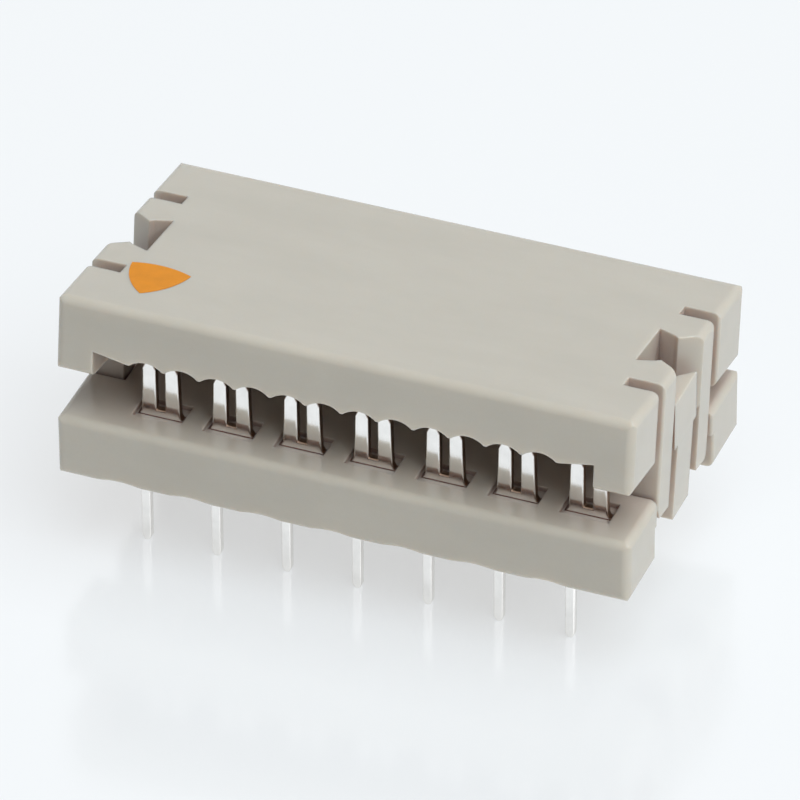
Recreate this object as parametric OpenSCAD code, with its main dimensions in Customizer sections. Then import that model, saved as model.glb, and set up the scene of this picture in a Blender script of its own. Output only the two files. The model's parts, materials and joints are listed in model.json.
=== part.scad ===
// Two-row insulation displacement connector for joining a ribbon cable to a circuit board.
// A moulded base holds two rows of stamped fork contacts with solder pins.
// A moulded cover presses the cable into the forks and is drawn tilted open.
// Millimetres, +X along the rows, +Y towards the rear, +Z up.
// The origin lies on the board seat, in the middle of the pin pattern.

/* [Pitch] */
// Contacts in each of the two rows
row_contacts = 7; // [4:1:12]
// Distance between neighbouring pins of a row
pin_pitch = 2.54; // [2.4:0.01:3]
// Distance between the two rows of pins
row_spacing = 7.62; // [7.5:0.01:8.2]

/* [Contact] */
// Thickness of the contact sheet
sheet_t = 0.3; // [0.2:0.01:0.4]
// Width of the fork across both tines near their tips
fork_w = 1.28; // [1.1:0.01:1.35]
// Width of the fork where it leaves the base
fork_root_w = 1.38; // [1.34:0.01:1.5]
// Width of the slot that cuts into the wire
wire_slot_w = 0.32; // [0.18:0.01:0.38]
// Height of the bottom of that slot above the base
slot_floor = 0.1; // [0.05:0.01:0.3]
// Height of the tines above the base
tine_h = 2.1; // [1.7:0.01:2.3]
// Height of the shoulders, just below the top of the base, that widen the fork into the foot
shoulder_h = 0.2; // [0.1:0.01:0.4]
// Length of the pointed part of each tine
tine_tip_h = 0.4; // [0.2:0.01:0.6]
// Width of the blunt end of each tine
tine_tip_w = 0.16; // [0.1:0.01:0.25]
// Width of the solder pin
pin_w = 0.34; // [0.25:0.01:0.45]
// Length of the solder pin below the board seat
pin_len = 3.08; // [2:0.01:5]
// Length of the blunt tapered pin tip
pin_tip_h = 0.18; // [0.1:0.01:0.4]

/* [Housing] */
// Depth of base and cover from front to rear
housing_depth = 10.7; // [10.3:0.05:13]
// Moulding beyond the cable at each end
end_wall = 1.33; // [1.3:0.01:2]
// Height of the base
base_h = 2.38; // [2.1:0.01:3]
// Height of the cover
cover_h = 2.8; // [2.7:0.01:3.5]
// Radius of the outer moulded edges
edge_r = 0.28; // [0.1:0.01:0.35]
// Radius of the upright corners beside the latch fingers
corner_r = 0.1; // [0.06:0.01:0.2]

/* [Base details] */
// Thickness of the floor that carries the contacts
foot_floor = 0.6; // [0.4:0.01:0.9]
// Room round a contact in its cavity
contact_play = 0.03; // [0.01:0.01:0.06]
// Depth of the open well round each fork
well_depth = 0.18; // [0.1:0.01:0.6]
// Room beside the foot in the well
well_margin = 0.08; // [0.05:0.01:0.15]
// Width of the well from front to rear
well_w = 1.1; // [0.8:0.01:1.2]
// Width of the arched underside relief at each pin
relief_w = 1.9; // [1.4:0.01:2.2]
// Height of the underside relief at each pin
relief_h = 0.22; // [0.08:0.01:0.26]
// Distance of the middle of the relief from its pin, on the side away from the fork
relief_shift = 0.35; // [0:0.01:0.45]
// Distance that the relief runs past the middle of its pin
relief_reach = 0.8; // [0.4:0.01:1.2]

/* [Cover details] */
// Height of the cable channel over the middle of a wire
channel_h = 0.97; // [0.8:0.01:1.1]
// Depth of the groove over each wire
groove_depth = 0.22; // [0.1:0.01:0.3]
// Width of the flat crest between two grooves
crest_w = 0.1; // [0.06:0.01:0.2]
// Room beside a fork in its cover slot
tine_side_play = 0.14; // [0.1:0.01:0.25]
// Room before and behind a fork in its cover slot
tine_sheet_play = 0.24; // [0.2:0.01:0.35]
// Room over a tine in the closed cover
tine_top_play = 0.15; // [0.05:0.01:0.3]

/* [Latch] */
// Width of each cover finger
finger_w = 1.06; // [0.95:0.01:1.3]
// Thickness of each cover finger, and depth of the slot beside it
finger_t = 1.28; // [1.1:0.01:1.35]
// Width of the slot between finger and corner block
finger_slot_w = 0.58; // [0.5:0.01:0.7]
// Height of the finger tips above the board seat when closed
finger_tip_gap = 0.08; // [0.03:0.01:0.3]
// Width of the taper at the outer side of the finger tips
tip_taper_w = 0.2; // [0.15:0.01:0.5]
// Height of the taper at the finger tips
tip_taper_h = 0.4; // [0.3:0.01:0.8]
// Room between the fingers and the end of the base
finger_play = 0.12; // [0.05:0.01:0.2]
// Height of the lower edge of the catch beside each finger
catch_z = 1.42; // [1.1:0.01:1.7]
// Room between the catch and the finger
catch_play = 0.24; // [0.2:0.01:0.3]
// Depth of the undercut below the catch
catch_depth = 0.16; // [0.08:0.01:0.3]
// Depth of the cover pocket behind the tongue
pocket_depth = 1.5; // [1.4:0.01:1.6]
// Widening of the pocket from the ridge to its inner wall
pocket_flare = 0.23; // [0.05:0.01:0.28]
// Height of the small ridge on the pocket wall
ridge_h = 0.12; // [0.08:0.01:0.25]
// Length of the pocket wall from its inner corner to the ridge
ridge_start = 0.6; // [0.4:0.01:0.65]
// Length of the slope from there up to the tip of the ridge
ridge_run = 0.16; // [0.06:0.01:0.2]
// Width of the tongue head at its outer face
head_w = 2.1; // [1.8:0.01:2.3]
// Width of the tongue head at its inner face
neck_w = 1.1; // [0.9:0.01:1.3]
// Width of the tongue stem
stem_w = 1.5; // [1.2:0.01:1.6]
// Thickness of the tongue
tongue_t = 0.56; // [0.45:0.01:0.6]
// Height of the underside of the tongue head above the base
head_rise = 0.98; // [0.7:0.01:1.2]
// Distance of the tongue top below the top of the closed cover
tongue_top_gap = 0.03; // [0.02:0.01:0.2]
// Height of the foot of the tongue above the board seat
tongue_foot = 0.25; // [0.1:0.01:0.5]
// Distance by which the tongue leans outwards between its foot and its head
tongue_lean = 0.15; // [0.05:0.01:0.25]
// Slope at the root of the tongue
tongue_slope = 0.25; // [0.1:0.01:0.4]
// Room between the tongue and the fingers beyond what the tilt takes
tongue_play = 0.05; // [0.03:0.01:0.12]

/* [Opening] */
// Angle by which the cover is drawn open
open_angle = 7.5; // [4:0.1:8]
// Distance of the turning axis behind the rear face
axis_back = 3.46; // [3:0.02:5]
// Height of the turning axis above the base
axis_rise = 0.3; // [0.1:0.01:1.3]
// Gap between base and closed cover
seat_gap = 0.03; // [0.02:0.01:0.08]

/* [Hidden] */
$fn = 48;
// Overshoot of cutting shapes past the faces that they cut
cut = 0.5;

wire_pitch = pin_pitch / 2;
wire_count = 2 * row_contacts;
// The forks of one row sit half a wire pitch to one side of their pins
fork_offset = wire_pitch / 2;
// The pin runs down in line with one side of the foot
foot_w = 2 * fork_offset + pin_w;
cable_w = wire_count * wire_pitch;
housing_len = cable_w + 2 * end_wall;
end_x = housing_len / 2;
tip_z = base_h + tine_h;

axis_y = housing_depth / 2 + axis_back;
axis_z = base_h + axis_rise;
head_h = cover_h + seat_gap - tongue_top_gap - head_rise;
// Shift of the open cover towards the rear at the front corner of the tongue top
swing = axis_y + head_w / 2;
tilt_rise = base_h + head_rise + head_h - axis_z - swing * sin(open_angle);
tilt_room = swing * (1 - cos(open_angle)) + tilt_rise * sin(open_angle);
mouth_half = head_w / 2 + tongue_play + tilt_room;
ridge_half = neck_w / 2 + tongue_play + tilt_room;
finger_far = mouth_half + finger_w;
catch_edge = finger_far + catch_play;
undercut_edge = catch_edge + catch_depth;
block_edge = finger_far + finger_slot_w;
finger_drop = base_h + seat_gap - finger_tip_gap;
recess_x = end_x - finger_t - finger_play;
tongue_x = end_x - tongue_t;

relief_r = (relief_w * relief_w / 4 + relief_h * relief_h) / (2 * relief_h);
groove_chord_half = (wire_pitch - crest_w) / 2;
groove_r = (groove_chord_half * groove_chord_half + groove_depth * groove_depth) / (2 * groove_depth);
cusp_h = channel_h - groove_depth;

housing_grey = [0.74, 0.73, 0.69];
tin = [0.82, 0.83, 0.84];

function pin_x(i) = (i - (row_contacts + 1) / 2) * pin_pitch;
function wire_x(i) = (i - (wire_count + 1) / 2) * wire_pitch;

// Draws its children at both ends of the part
module both_ends() {
    children();
    mirror([1, 0, 0]) children();
}

// Draws its children, given for the front row, at every contact of both rows
module each_contact() {
    for (i = [1:row_contacts]) {
        translate([pin_x(i), -row_spacing / 2, 0]) children();
        translate([pin_x(i), row_spacing / 2, 0]) rotate([0, 0, 180]) children();
    }
}

module rounded_rect(w, h, r) {
    square([w - 2 * r, h], center = true);
    square([w, h - 2 * r], center = true);
    for (x = [-1, 1], y = [-1, 1]) translate([x * (w / 2 - r), y * (h / 2 - r)]) circle(r);
}

// Block standing on z = 0 with rounded edges on every side
module moulded_block(w, d, h, r) {
    intersection() {
        linear_extrude(h) rounded_rect(w, d, r);
        translate([0, d / 2, h / 2]) rotate([90, 0, 0]) linear_extrude(d) rounded_rect(w, h, r);
        translate([-w / 2, 0, h / 2]) rotate([90, 0, 90]) linear_extrude(w) rounded_rect(d, h, r);
    }
}

// Flat outline in X and Z, given a thickness centred on y = 0
module standing_sheet(t) {
    translate([0, t / 2, 0]) rotate([90, 0, 0]) linear_extrude(t) children();
}

// Fork blank with its wire slot, centred on the fork
module fork_outline() {
    half_tip = wire_slot_w / 2 + tine_tip_w;
    difference() {
        polygon([
            [-foot_w / 2, foot_floor],
            [foot_w / 2, foot_floor],
            [foot_w / 2, base_h - shoulder_h],
            [fork_root_w / 2, base_h],
            [fork_w / 2, tip_z - tine_tip_h],
            [half_tip + tine_tip_w, tip_z],
            [-half_tip - tine_tip_w, tip_z],
            [-fork_w / 2, tip_z - tine_tip_h],
            [-fork_root_w / 2, base_h],
            [-foot_w / 2, base_h - shoulder_h]
        ]);
        translate([-wire_slot_w / 2, base_h + slot_floor]) square([wire_slot_w, tine_h]);
        polygon([
            [-wire_slot_w / 2, tip_z - tine_tip_h],
            [wire_slot_w / 2, tip_z - tine_tip_h],
            [half_tip, tip_z],
            [half_tip, tip_z + cut],
            [-half_tip, tip_z + cut],
            [-half_tip, tip_z]
        ]);
    }
}

// Solder pin from the foot down to its tapered tip
module pin_outline() {
    polygon([
        [-pin_w / 2, foot_floor + relief_h],
        [pin_w / 2, foot_floor + relief_h],
        [pin_w / 2, pin_tip_h - pin_len],
        [pin_w / 4, -pin_len],
        [-pin_w / 4, -pin_len],
        [-pin_w / 2, pin_tip_h - pin_len]
    ]);
}

// One stamped contact with its pin on the Z axis and its fork to the right
module contact() {
    color(tin) union() {
        translate([fork_offset, 0, 0]) standing_sheet(sheet_t) fork_outline();
        standing_sheet(sheet_t) pin_outline();
    }
}

// Room for one contact: well, foot cavity and pin hole
module contact_cavity() {
    hole_t = sheet_t + 2 * contact_play;
    translate([fork_offset, 0, base_h]) {
        cube([foot_w + 2 * well_margin, well_w, 2 * well_depth], center = true);
        translate([-foot_w / 2 - contact_play, -hole_t / 2, foot_floor - base_h])
            cube([foot_w + 2 * contact_play, hole_t, base_h]);
    }
    translate([-pin_w / 2 - contact_play, -hole_t / 2, -cut])
        cube([pin_w + 2 * contact_play, hole_t, foot_floor + 2 * cut]);
}

// Arched relief in the underside from the outer face to just past the pin
module pin_relief() {
    outer = (housing_depth - row_spacing) / 2 + cut;
    translate([-relief_shift, -outer, relief_h - relief_r]) rotate([-90, 0, 0])
        cylinder(r = relief_r, h = outer + relief_reach, $fn = 96);
}

// T-shaped latch tongue of the right end
module tongue() {
    head_z = base_h + head_rise;
    translate([recess_x, 0, 0]) rotate([90, 0, 0]) translate([0, 0, -stem_w / 2]) linear_extrude(stem_w)
        polygon([
            [-edge_r, tongue_foot],
            [end_x - recess_x - tongue_lean, tongue_foot],
            [end_x - recess_x, head_z],
            [tongue_x - recess_x, head_z],
            [tongue_x - recess_x, base_h],
            [tongue_x - recess_x - tongue_slope, base_h - tongue_slope],
            [-edge_r, base_h - tongue_slope]
        ]);
    translate([0, 0, head_z]) linear_extrude(head_h)
        polygon([
            [tongue_x, -neck_w / 2],
            [end_x, -head_w / 2],
            [end_x, head_w / 2],
            [tongue_x, neck_w / 2]
        ]);
}

// Cutter for an upright corner at the origin, with the moulding on its -X and +Y sides
module corner_cutter(h) {
    translate([-corner_r, -cut, 0]) linear_extrude(h) difference() {
        square(corner_r + cut);
        translate([0, corner_r + cut]) circle(corner_r);
    }
}

// Room for the fingers of the right end, undercut below the catches on the corner blocks
module finger_recess() {
    depth = end_x - recess_x + cut;
    translate([recess_x, -catch_edge, -cut]) cube([depth, 2 * catch_edge, base_h + 2 * cut]);
    translate([recess_x, -undercut_edge, -cut]) cube([depth, 2 * undercut_edge, catch_z + cut]);
    for (side = [0, 1]) mirror([0, side, 0]) {
        translate([end_x, catch_edge, catch_z]) corner_cutter(base_h - catch_z + cut);
        translate([end_x, undercut_edge, -cut]) corner_cutter(catch_z + cut);
    }
}

// Moulded base with contact cavities, underside reliefs, catches and latch tongues
module base_housing() {
    color(housing_grey) {
        difference() {
            moulded_block(housing_len, housing_depth, base_h, edge_r);
            both_ends() finger_recess();
            each_contact() {
                contact_cavity();
                pin_relief();
            }
        }
        both_ends() tongue();
    }
}

// Section of the cable channel, with a groove for each wire and a sloping roof over the two outer ones
module channel_outline() {
    translate([-cable_w / 2, -cut]) square([cable_w, cusp_h + cut]);
    for (side = [-1, 1]) scale([side, 1]) polygon([
        [cable_w / 2 - wire_pitch + crest_w / 2, cusp_h],
        [cable_w / 2, cusp_h],
        [cable_w / 2, channel_h]
    ]);
    for (i = [2:wire_count - 1]) intersection() {
        translate([wire_x(i), channel_h - groove_r]) circle(groove_r, $fn = 96);
        translate([wire_x(i) - wire_pitch, cusp_h]) square([2 * wire_pitch, groove_depth + cut]);
    }
}

// Opening between the two fingers of the right end, seen from above
module pocket_outline() {
    inner_x = end_x - pocket_depth;
    ridge_x = inner_x + ridge_start;
    foot_half = ridge_half + ridge_h;
    wide_half = foot_half + pocket_flare;
    polygon([
        [inner_x, -wide_half],
        [ridge_x, -foot_half],
        [ridge_x + ridge_run, -ridge_half],
        [end_x, -mouth_half],
        [end_x + cut, -mouth_half],
        [end_x + cut, mouth_half],
        [end_x, mouth_half],
        [ridge_x + ridge_run, ridge_half],
        [ridge_x, foot_half],
        [inner_x, wide_half]
    ]);
}

// Finger of the right end, with its lower part reaching down beside the base
module finger() {
    translate([end_x - finger_t, 0, 0]) rotate([90, 0, 90]) linear_extrude(finger_t)
        polygon([
            [mouth_half, edge_r + channel_h],
            [mouth_half, -finger_drop],
            [finger_far - tip_taper_w, -finger_drop],
            [finger_far, tip_taper_h - finger_drop],
            [finger_far, edge_r + channel_h]
        ]);
}

// Blind slot in the cover over one fork
module tine_slot() {
    slot_x = fork_root_w + 2 * tine_side_play;
    slot_y = sheet_t + 2 * tine_sheet_play;
    translate([fork_offset - slot_x / 2, -slot_y / 2, -cut])
        cube([slot_x, slot_y, tine_h + tine_top_play - seat_gap + cut]);
}

// Cover block with its channel, fork slots, pockets and finger slots, underside on z = 0
module cover_block() {
    difference() {
        moulded_block(housing_len, housing_depth, cover_h, edge_r);
        standing_sheet(housing_depth + 2 * cut) channel_outline();
        each_contact() tine_slot();
        both_ends() {
            translate([0, 0, -cut]) linear_extrude(cover_h + 2 * cut) pocket_outline();
            for (side = [0, 1]) mirror([0, side, 0]) translate([end_x - finger_t, finger_far, -cut])
                cube([finger_t + cut, finger_slot_w, cover_h + 2 * cut]);
        }
    }
}

// Closed cover with its fingers and rounded corners beside the finger slots
module flat_cover() {
    difference() {
        union() {
            cover_block();
            both_ends() for (side = [0, 1]) mirror([0, side, 0]) finger();
        }
        both_ends() for (side = [0, 1]) mirror([0, side, 0]) {
            translate([end_x, block_edge, -cut]) corner_cutter(cover_h + 2 * cut);
            translate([end_x, finger_far, -finger_drop - cut]) mirror([0, 1, 0])
                corner_cutter(finger_drop + cover_h + 2 * cut);
        }
    }
}

// Cover turned open about the axis behind the rear face
module cover() {
    color(housing_grey)
        translate([0, axis_y, axis_z]) rotate([-open_angle, 0, 0]) translate([0, -axis_y, -axis_z])
            translate([0, 0, base_h + seat_gap]) flat_cover();
}

base_housing();
cover();
for (i = [1:row_contacts]) {
    translate([pin_x(i), -row_spacing / 2, 0]) contact();
    translate([pin_x(i), row_spacing / 2, 0]) rotate([0, 0, 180]) contact();
}
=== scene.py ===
import json
import math

import bmesh
import bpy
from mathutils import Matrix, Vector


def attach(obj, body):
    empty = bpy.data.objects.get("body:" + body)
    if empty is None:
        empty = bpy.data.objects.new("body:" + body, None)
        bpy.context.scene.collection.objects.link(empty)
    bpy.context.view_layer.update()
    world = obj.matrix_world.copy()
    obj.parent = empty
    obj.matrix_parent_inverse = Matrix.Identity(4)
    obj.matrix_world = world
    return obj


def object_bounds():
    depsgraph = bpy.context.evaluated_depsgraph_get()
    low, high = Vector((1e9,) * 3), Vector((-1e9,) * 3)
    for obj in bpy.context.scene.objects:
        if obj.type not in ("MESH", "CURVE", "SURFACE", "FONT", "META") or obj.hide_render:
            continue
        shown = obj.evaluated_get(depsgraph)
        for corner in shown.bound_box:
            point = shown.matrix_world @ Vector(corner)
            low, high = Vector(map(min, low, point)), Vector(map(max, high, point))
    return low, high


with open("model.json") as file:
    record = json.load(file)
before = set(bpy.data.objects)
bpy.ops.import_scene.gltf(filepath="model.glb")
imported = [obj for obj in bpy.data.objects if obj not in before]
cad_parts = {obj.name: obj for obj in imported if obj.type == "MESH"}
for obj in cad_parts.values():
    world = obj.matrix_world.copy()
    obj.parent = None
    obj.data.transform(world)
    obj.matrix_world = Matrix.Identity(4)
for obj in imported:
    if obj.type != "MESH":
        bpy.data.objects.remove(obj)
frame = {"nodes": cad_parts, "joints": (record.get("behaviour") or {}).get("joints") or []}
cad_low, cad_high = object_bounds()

# One millimetre in the frame's unit
MM = 0.001

# Camera: direction of view and tilt of the picture in degrees, distance, lens and sensor, aim from
# the middle of the board seat, and the nearest and farthest that it sees
CAMERA_AZIMUTH = 21.653
CAMERA_ELEVATION = 36.08
CAMERA_ROLL = 0.429
CAMERA_DISTANCE = 336.485 * MM
CAMERA_LENS = 450.0
CAMERA_SENSOR = 36.0
CAMERA_AIM_UP = 1.659 * MM
CAMERA_AIM_RIGHT = 0.031 * MM
CAMERA_NEAR = 0.01
CAMERA_FAR = 10.0

# Light: level of the even surroundings, and place, size and power of the soft lamp
WORLD_LIGHT = 0.1
KEY_PLACE = (0.286, -0.10, 0.63)
KEY_SIZE = 0.8
KEY_POWER = 6.8

# Floor: size, share of its own white that the camera sees, share of gloss and its roughness
FLOOR_SIZE = 3.0
FLOOR_GLOW = 0.57
FLOOR_GLOSS = 0.3
FLOOR_ROUGHNESS = 0.15

# Colours as linear values
WHITE = (1.0, 1.0, 1.0)
HOUSING_COLOUR = (0.540, 0.522, 0.460)
# Painted shade: the moulding's colour in recesses, browner, and in deep recesses, dark brown
HOUSING_PAINTED_SHADE = (0.520, 0.452, 0.402)
HOUSING_PAINTED_DEEP_SHADE = (0.260, 0.150, 0.130)
TIN_COLOUR = (0.88, 0.87, 0.85)
BARE_COLOUR = (0.26, 0.18, 0.13)
INK_COLOUR = (0.710, 0.255, 0.003)
FLOOR_SEEN = (0.80, 0.905, 0.98)
FLOOR_BOUNCE = (0.82, 0.82, 0.82)

# Moulded plastic: stretch of the flow mottling, grain cells for each millimetre, reach in
# millimetres within which walls make a place a recess, the openness at which the painted shade
# and the darker painted deep shade give way, and the light that scatters inside
FLOW_STRETCH = (0.25, 0.6, 0.6)
GRAIN_CELLS = 16.0
RECESS_REACH = 3.0
PAINTED_SHADE_OPENNESS = (0.45, 0.8)
PAINTED_DEEP_SHADE_OPENNESS = (0.0, 0.25)
SCATTER_SHARE = 0.7
SCATTER_COLOUR_REACH = (1.0, 0.8, 0.65)
SCATTER_DEPTH = 0.6 * MM
HOUSING_EDGE = 0.09 * MM

# Tin plate: stretch and cells of the drawing lines, cells of the dull patches, height in
# millimetres from which the cut edges are bare, and how much duller they are
LINE_STRETCH = (1.0, 1.0, 0.06)
LINE_CELLS = 22.0
PATCH_CELLS = 1.6
BARE_FROM = 2.2
BARE_FADE = 0.05
BARE_DULLNESS = 0.25

# Stamped edges of the contacts: rounding and its steps, reach of the weld, and the angles in
# degrees up to which faces count as one and from which an edge is rounded
CONTACT_EDGE = 0.06 * MM
CONTACT_EDGE_STEPS = 3
WELD_REACH = 0.0005 * MM
FLAT_ANGLE = 1.0
SHARP_ANGLE = 20.0

# Printed first-way mark in millimetres: corners on the closed cover's top, bulge of its sides,
# how far the ink stands proud and how far it reaches into the plastic
MARK_CORNERS = ((-8.85, -2.15), (-7.79, -4.05), (-6.69, -2.25))
MARK_BULGE = 0.22
MARK_SIDE_STEPS = 14
INK_PROUD = 0.012
INK_SUNK = 0.02
INK_CELLS = 2.2

# Turns of the cover about its hinge, from the open rest to the closed seat and back
hinge = frame["joints"][0]
to_hinge = Matrix.Translation(Vector(hinge["pos_m"]))
swing = Matrix.Rotation(math.radians(hinge["range_deg"][1]), 4, "X")
closing = to_hinge @ swing @ to_hinge.inverted()
opening = closing.inverted()


# Material helpers

def new_material(name):
    """A node material and its shader."""
    material = bpy.data.materials.new(name)
    material.use_nodes = True
    return material, material.node_tree.nodes["Principled BSDF"]


def millimetres(tree, stretch=(1.0, 1.0, 1.0)):
    """Object coordinates in millimetres, with each axis stretched."""
    place = tree.nodes.new("ShaderNodeTexCoord")
    mapping = tree.nodes.new("ShaderNodeMapping")
    mapping.inputs["Scale"].default_value = [s / MM for s in stretch]
    tree.links.new(place.outputs["Object"], mapping.inputs["Vector"])
    return mapping.outputs["Vector"]


def noise(tree, place, scale, detail=3.0):
    """Noise of that many cells for each millimetre."""
    texture = tree.nodes.new("ShaderNodeTexNoise")
    texture.inputs["Scale"].default_value = scale
    texture.inputs["Detail"].default_value = detail
    texture.inputs["Roughness"].default_value = 0.55
    tree.links.new(place, texture.inputs["Vector"])
    return texture.outputs[0]


def spread(tree, value, low, high, start=0.3, end=0.7):
    """The value from start to end, mapped to low to high."""
    node = tree.nodes.new("ShaderNodeMapRange")
    node.inputs["From Min"].default_value = start
    node.inputs["From Max"].default_value = end
    node.inputs["To Min"].default_value = low
    node.inputs["To Max"].default_value = high
    tree.links.new(value, node.inputs["Value"])
    return node.outputs["Result"]


def calculate(tree, operation, *values):
    """The result of a maths operation on one or two sockets."""
    node = tree.nodes.new("ShaderNodeMath")
    node.operation = operation
    for value, socket in zip(values, node.inputs):
        tree.links.new(value, socket)
    return node.outputs[0]


def split(tree, vector):
    """The three parts of a vector."""
    node = tree.nodes.new("ShaderNodeSeparateXYZ")
    tree.links.new(vector, node.inputs["Vector"])
    return node.outputs


def blend(tree, factor, first, second):
    """A colour between two others, which are colours or sockets."""
    node = tree.nodes.new("ShaderNodeMix")
    node.data_type = "RGBA"
    tree.links.new(factor, node.inputs[0])
    for socket, colour in ((node.inputs[6], first), (node.inputs[7], second)):
        if isinstance(colour, bpy.types.NodeSocket):
            tree.links.new(colour, socket)
        else:
            socket.default_value = (*colour, 1.0)
    return node.outputs[2]


def mottled(tree, value, colour, dark, light):
    """The colour, made darker or lighter by a value."""
    shades = [tuple(min(1.0, c * factor) for c in colour) for factor in (dark, light)]
    return blend(tree, spread(tree, value, 0.0, 1.0), *shades)


def bump(tree, shader, height, depth, strength):
    """Relief of that depth, in millimetres."""
    node = tree.nodes.new("ShaderNodeBump")
    node.inputs["Strength"].default_value = strength
    node.inputs["Distance"].default_value = depth * MM
    tree.links.new(height, node.inputs["Height"])
    tree.links.new(node.outputs["Normal"], shader.inputs["Normal"])
    return node


def soft_edges(tree, relief, radius):
    """Shades the edges under a relief as if they were rounded."""
    node = tree.nodes.new("ShaderNodeBevel")
    node.samples = 6
    node.inputs["Radius"].default_value = radius
    tree.links.new(node.outputs["Normal"], relief.inputs["Normal"])


def openness(tree, reach):
    """1 on open faces and less where walls stand within the reach, in millimetres."""
    node = tree.nodes.new("ShaderNodeAmbientOcclusion")
    node.samples = 8
    node.inputs["Distance"].default_value = reach * MM
    return node.outputs["AO"]


def cut_edges(tree):
    """1 on the cut edges of a fork, which stands across Y, and 0 on its plated faces and pin."""
    facing = split(tree, tree.nodes.new("ShaderNodeTexCoord").outputs["Normal"])
    point = split(tree, millimetres(tree))
    sideways = spread(tree, calculate(tree, "ABSOLUTE", facing["Y"]), 1.0, 0.0, 0.3, 0.8)
    upwards = spread(tree, facing["Z"], 0.0, 1.0, 0.1, 0.35)
    fork = spread(tree, point["Z"], 0.0, 1.0, BARE_FROM, BARE_FROM + BARE_FADE)
    return calculate(tree, "MULTIPLY", calculate(tree, "MAXIMUM", sideways, upwards), fork)


# Materials

def moulded_plastic():
    """Warm grey moulding with fine grain, flow mottling, painted shade in recesses and a little
    scatter.
    """
    material, shader = new_material("moulded_grey")
    tree = material.node_tree
    flow = noise(tree, millimetres(tree, FLOW_STRETCH), 1.0, 4.0)
    grain = noise(tree, millimetres(tree), GRAIN_CELLS)
    cloud = mottled(tree, flow, HOUSING_COLOUR, 0.965, 1.03)
    dark_speck = tuple(0.94 * c for c in HOUSING_COLOUR)
    speck = blend(tree, spread(tree, grain, 0.0, 0.3), cloud, dark_speck)
    # Painted shade: where walls close a place in, the colour turns browner, and dark brown deep
    # inside
    light = openness(tree, RECESS_REACH)
    painted_shade_tone = blend(tree, spread(tree, light, 0.0, 1.0, *PAINTED_SHADE_OPENNESS), HOUSING_PAINTED_SHADE, speck)
    tone = blend(tree, spread(tree, light, 0.0, 1.0, *PAINTED_DEEP_SHADE_OPENNESS), HOUSING_PAINTED_DEEP_SHADE, painted_shade_tone)
    tree.links.new(tone, shader.inputs["Base Color"])
    tree.links.new(spread(tree, grain, 0.17, 0.23), shader.inputs["Roughness"])
    shader.inputs["Subsurface Weight"].default_value = SCATTER_SHARE
    shader.inputs["Subsurface Radius"].default_value = SCATTER_COLOUR_REACH
    shader.inputs["Subsurface Scale"].default_value = SCATTER_DEPTH
    soft_edges(tree, bump(tree, shader, grain, 0.004, 0.1), HOUSING_EDGE)
    return material


def tin_plate():
    """Bright tin with drawing lines and dull patches, and bare bronze on the forks' cut edges."""
    material, shader = new_material("tin_plate")
    tree = material.node_tree
    lines = noise(tree, millimetres(tree, LINE_STRETCH), LINE_CELLS)
    patches = noise(tree, millimetres(tree), PATCH_CELLS, 4.0)
    plated = mottled(tree, patches, TIN_COLOUR, 0.94, 1.04)
    bare = cut_edges(tree)
    tree.links.new(blend(tree, bare, plated, BARE_COLOUR), shader.inputs["Base Color"])
    drawn = spread(tree, lines, 0.1, 0.16)
    duller = spread(tree, bare, 0.0, BARE_DULLNESS, 0.0, 1.0)
    tree.links.new(calculate(tree, "ADD", drawn, duller), shader.inputs["Roughness"])
    shader.inputs["Metallic"].default_value = 1.0
    bump(tree, shader, lines, 0.002, 0.03)
    return material


def printing_ink():
    """Orange pad-printed ink, a little thin in places, over the grain of the moulding."""
    material, shader = new_material("orange_ink")
    tree = material.node_tree
    place = millimetres(tree)
    cover_up = noise(tree, place, INK_CELLS, 4.0)
    grain = noise(tree, place, GRAIN_CELLS)
    tone = mottled(tree, cover_up, INK_COLOUR, 0.95, 1.05)
    thin = blend(tree, spread(tree, grain, 0.0, 0.03), tone, HOUSING_COLOUR)
    tree.links.new(thin, shader.inputs["Base Color"])
    tree.links.new(spread(tree, grain, 0.38, 0.52), shader.inputs["Roughness"])
    shader.inputs["Specular IOR Level"].default_value = 0.25
    bump(tree, shader, grain, 0.005, 0.3)
    return material


def seen_directly(tree):
    """1 for what the camera sees, also in metal or through clear pieces, and 0 for other light."""
    path = tree.nodes.new("ShaderNodeLightPath")
    seen = path.outputs["Is Camera Ray"]
    for ray in ("Is Glossy Ray", "Is Transmission Ray"):
        seen = calculate(tree, "MAXIMUM", seen, path.outputs[ray])
    return seen


def mix_shaders(tree, factor, first, second):
    """A mix of two shaders by a number or a socket."""
    node = tree.nodes.new("ShaderNodeMixShader")
    if isinstance(factor, bpy.types.NodeSocket):
        tree.links.new(factor, node.inputs[0])
    else:
        node.inputs[0].default_value = factor
    tree.links.new(first, node.inputs[1])
    tree.links.new(second, node.inputs[2])
    return node.outputs["Shader"]


def studio_floor():
    """White glossy board that keeps a soft shadow and is clear from below."""
    material, shader = new_material("studio_floor")
    tree = material.node_tree
    tree.nodes.remove(shader)
    seen = seen_directly(tree)
    matt = tree.nodes.new("ShaderNodeBsdfDiffuse")
    tree.links.new(blend(tree, seen, FLOOR_BOUNCE, FLOOR_SEEN), matt.inputs["Color"])
    gloss = tree.nodes.new("ShaderNodeBsdfGlossy")
    gloss.inputs["Roughness"].default_value = FLOOR_ROUGHNESS
    glow = tree.nodes.new("ShaderNodeEmission")
    clear = tree.nodes.new("ShaderNodeBsdfTransparent")
    side = tree.nodes.new("ShaderNodeNewGeometry")
    board = mix_shaders(tree, FLOOR_GLOSS, matt.outputs["BSDF"], gloss.outputs["BSDF"])
    share = spread(tree, seen, 0.0, FLOOR_GLOW, 0.0, 1.0)
    lit = mix_shaders(tree, share, board, glow.outputs["Emission"])
    whole = mix_shaders(tree, side.outputs["Backfacing"], lit, clear.outputs["BSDF"])
    tree.links.new(whole, tree.nodes["Material Output"].inputs["Surface"])
    return material


# Pieces

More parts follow.
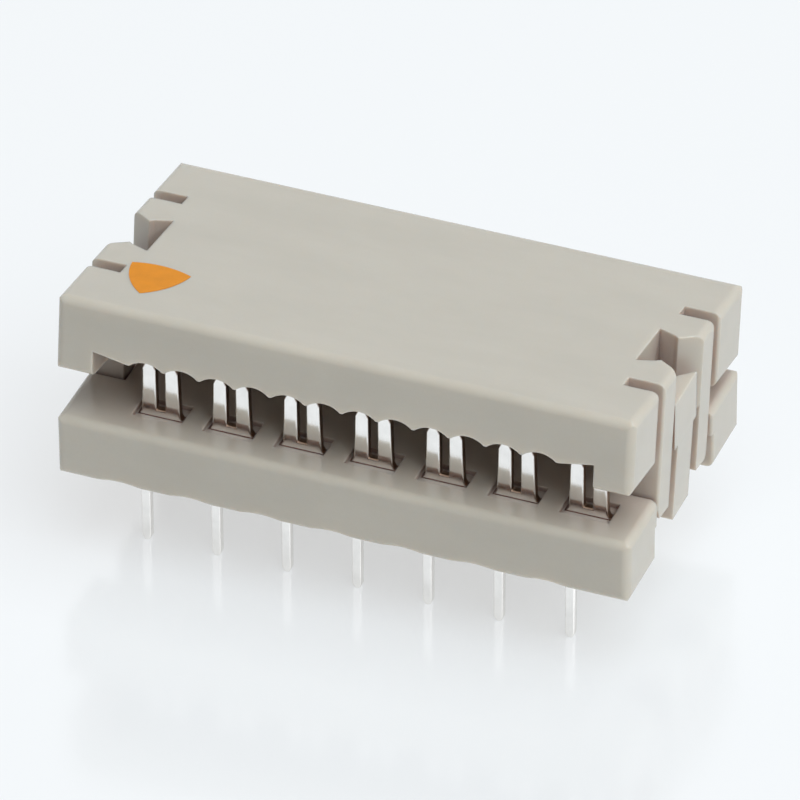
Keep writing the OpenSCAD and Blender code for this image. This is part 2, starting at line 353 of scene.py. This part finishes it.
def smooth_shading():
    """Modifier nodes that shade all faces smooth and leave the mesh as it is."""
    group = bpy.data.node_groups.new("smooth_shading", "GeometryNodeTree")
    for way in ("INPUT", "OUTPUT"):
        group.interface.new_socket("Geometry", in_out=way, socket_type="NodeSocketGeometry")
    start = group.nodes.new("NodeGroupInput")
    smooth = group.nodes.new("GeometryNodeSetShadeSmooth")
    end = group.nodes.new("NodeGroupOutput")
    group.links.new(start.outputs[0], smooth.inputs["Geometry"])
    group.links.new(smooth.outputs["Geometry"], end.inputs[0])
    return group


def soften(node, shading):
    """Joins a contact's faces, rounds its sharp edges a little and evens out the shading."""
    smooth = node.modifiers.new("smooth", "NODES")
    smooth.node_group = shading
    weld = node.modifiers.new("weld", "WELD")
    weld.merge_threshold = WELD_REACH
    flat = node.modifiers.new("flat", "DECIMATE")
    flat.decimate_type = "DISSOLVE"
    flat.angle_limit = math.radians(FLAT_ANGLE)
    bevel = node.modifiers.new("bevel", "BEVEL")
    bevel.width = CONTACT_EDGE
    bevel.segments = CONTACT_EDGE_STEPS
    bevel.limit_method = "ANGLE"
    bevel.angle_limit = math.radians(SHARP_ANGLE)
    normals = node.modifiers.new("normals", "WEIGHTED_NORMAL")
    normals.keep_sharp = False


def dress(nodes, material):
    """Gives CAD nodes their material."""
    for node in nodes:
        for slot in node.material_slots:
            slot.material = material


def bulged_side(start, end, bulge, steps):
    """Points of the arc from start towards end that swells outwards by bulge; end is left out."""
    start, end = Vector(start), Vector(end)
    chord = end - start
    half = chord.length / 2
    radius = (half * half + bulge * bulge) / (2 * bulge)
    outwards = Vector((chord.y, -chord.x)).normalized()
    centre = (start + end) / 2 - outwards * (radius - bulge)
    reach = math.asin(half / radius)
    along = chord.normalized()
    points = []
    for step in range(steps):
        angle = reach * (2 * step / steps - 1)
        points.append(centre + radius * (along * math.sin(angle) + outwards * math.cos(angle)))
    return points


def first_way_mark(cover, material):
    """Thin print with three bulged sides on the top of the cover, over the first way."""
    top = max((closing @ vertex.co).z for vertex in cover.data.vertices)
    outline = []
    for start, end in zip(MARK_CORNERS, MARK_CORNERS[1:] + MARK_CORNERS[:1]):
        outline += bulged_side(start, end, MARK_BULGE, MARK_SIDE_STEPS)
    mesh = bpy.data.meshes.new("first_way_mark")
    build = bmesh.new()
    upper = [build.verts.new((p.x * MM, p.y * MM, top + INK_PROUD * MM)) for p in outline]
    lower = [build.verts.new((p.x * MM, p.y * MM, top - INK_SUNK * MM)) for p in outline]
    build.faces.new(upper)
    build.faces.new(reversed(lower))
    count = len(outline)
    for i in range(count):
        j = (i + 1) % count
        build.faces.new((upper[i], lower[i], lower[j], upper[j]))
    bmesh.ops.transform(build, matrix=opening, verts=build.verts)
    bmesh.ops.recalc_face_normals(build, faces=build.faces)
    build.to_mesh(mesh)
    build.free()
    mesh.materials.append(material)
    mark = bpy.data.objects.new("first_way_mark", mesh)
    bpy.context.scene.collection.objects.link(mark)
    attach(mark, "cover")


# Stage

def floor_under(height, material):
    """Wide floor that the pin tips stand on."""
    half = FLOOR_SIZE / 2
    corners = [(-half, -half), (half, -half), (half, half), (-half, half)]
    mesh = bpy.data.meshes.new("floor")
    mesh.from_pydata([(x, y, height) for x, y in corners], [], [(0, 1, 2, 3)])
    mesh.materials.append(material)
    floor = bpy.data.objects.new("floor", mesh)
    bpy.context.scene.collection.objects.link(floor)


def white_surroundings():
    """World that lights evenly and shows white to the camera, to metal and through clear pieces."""
    world = bpy.data.worlds.new("studio")
    bpy.context.scene.world = world
    world.use_nodes = True
    tree = world.node_tree
    background = tree.nodes["Background"]
    background.inputs["Color"].default_value = (*WHITE, 1.0)
    strength = spread(tree, seen_directly(tree), WORLD_LIGHT, 1.0, 0.0, 1.0)
    tree.links.new(strength, background.inputs["Strength"])


def key_light():
    """Large square lamp, aimed at the part."""
    lamp = bpy.data.lights.new("key_light", "AREA")
    lamp.shape = "SQUARE"
    lamp.size = KEY_SIZE
    lamp.energy = KEY_POWER
    lamp.color = WHITE
    holder = bpy.data.objects.new("key_light", lamp)
    holder.location = KEY_PLACE
    holder.rotation_mode = "QUATERNION"
    holder.rotation_quaternion = (-Vector(KEY_PLACE)).to_track_quat("-Z", "Y")
    bpy.context.scene.collection.objects.link(holder)


def photo_camera():
    """Camera at the photograph's angle and framing."""
    azimuth = math.radians(CAMERA_AZIMUTH)
    elevation = math.radians(CAMERA_ELEVATION)
    level = math.cos(elevation)
    back = Vector((math.sin(azimuth) * level, -math.cos(azimuth) * level, math.sin(elevation)))
    right = Vector((math.cos(azimuth), math.sin(azimuth), 0.0))
    right.rotate(Matrix.Rotation(math.radians(-CAMERA_ROLL), 3, back))
    up = back.cross(right)
    data = bpy.data.cameras.new("photo_camera")
    data.sensor_width = CAMERA_SENSOR
    data.lens = CAMERA_LENS
    data.clip_start = CAMERA_NEAR
    data.clip_end = CAMERA_FAR
    camera = bpy.data.objects.new("photo_camera", data)
    camera.rotation_mode = "QUATERNION"
    camera.rotation_quaternion = Matrix((right, up, back)).transposed().to_quaternion()
    camera.location = back * CAMERA_DISTANCE + up * CAMERA_AIM_UP + right * CAMERA_AIM_RIGHT
    bpy.context.scene.collection.objects.link(camera)
    bpy.context.scene.camera = camera


nodes = frame["nodes"]
contacts = [nodes[name] for name in sorted(nodes) if name.startswith("contact_")]
dress([nodes["base_housing"], nodes["cover"]], moulded_plastic())
dress(contacts, tin_plate())
shading = smooth_shading()
for contact in contacts:
    soften(contact, shading)
first_way_mark(nodes["cover"], printing_ink())

floor_under(cad_low.z, studio_floor())
white_surroundings()
key_light()
photo_camera()
bpy.context.scene.view_settings.view_transform = "Standard"
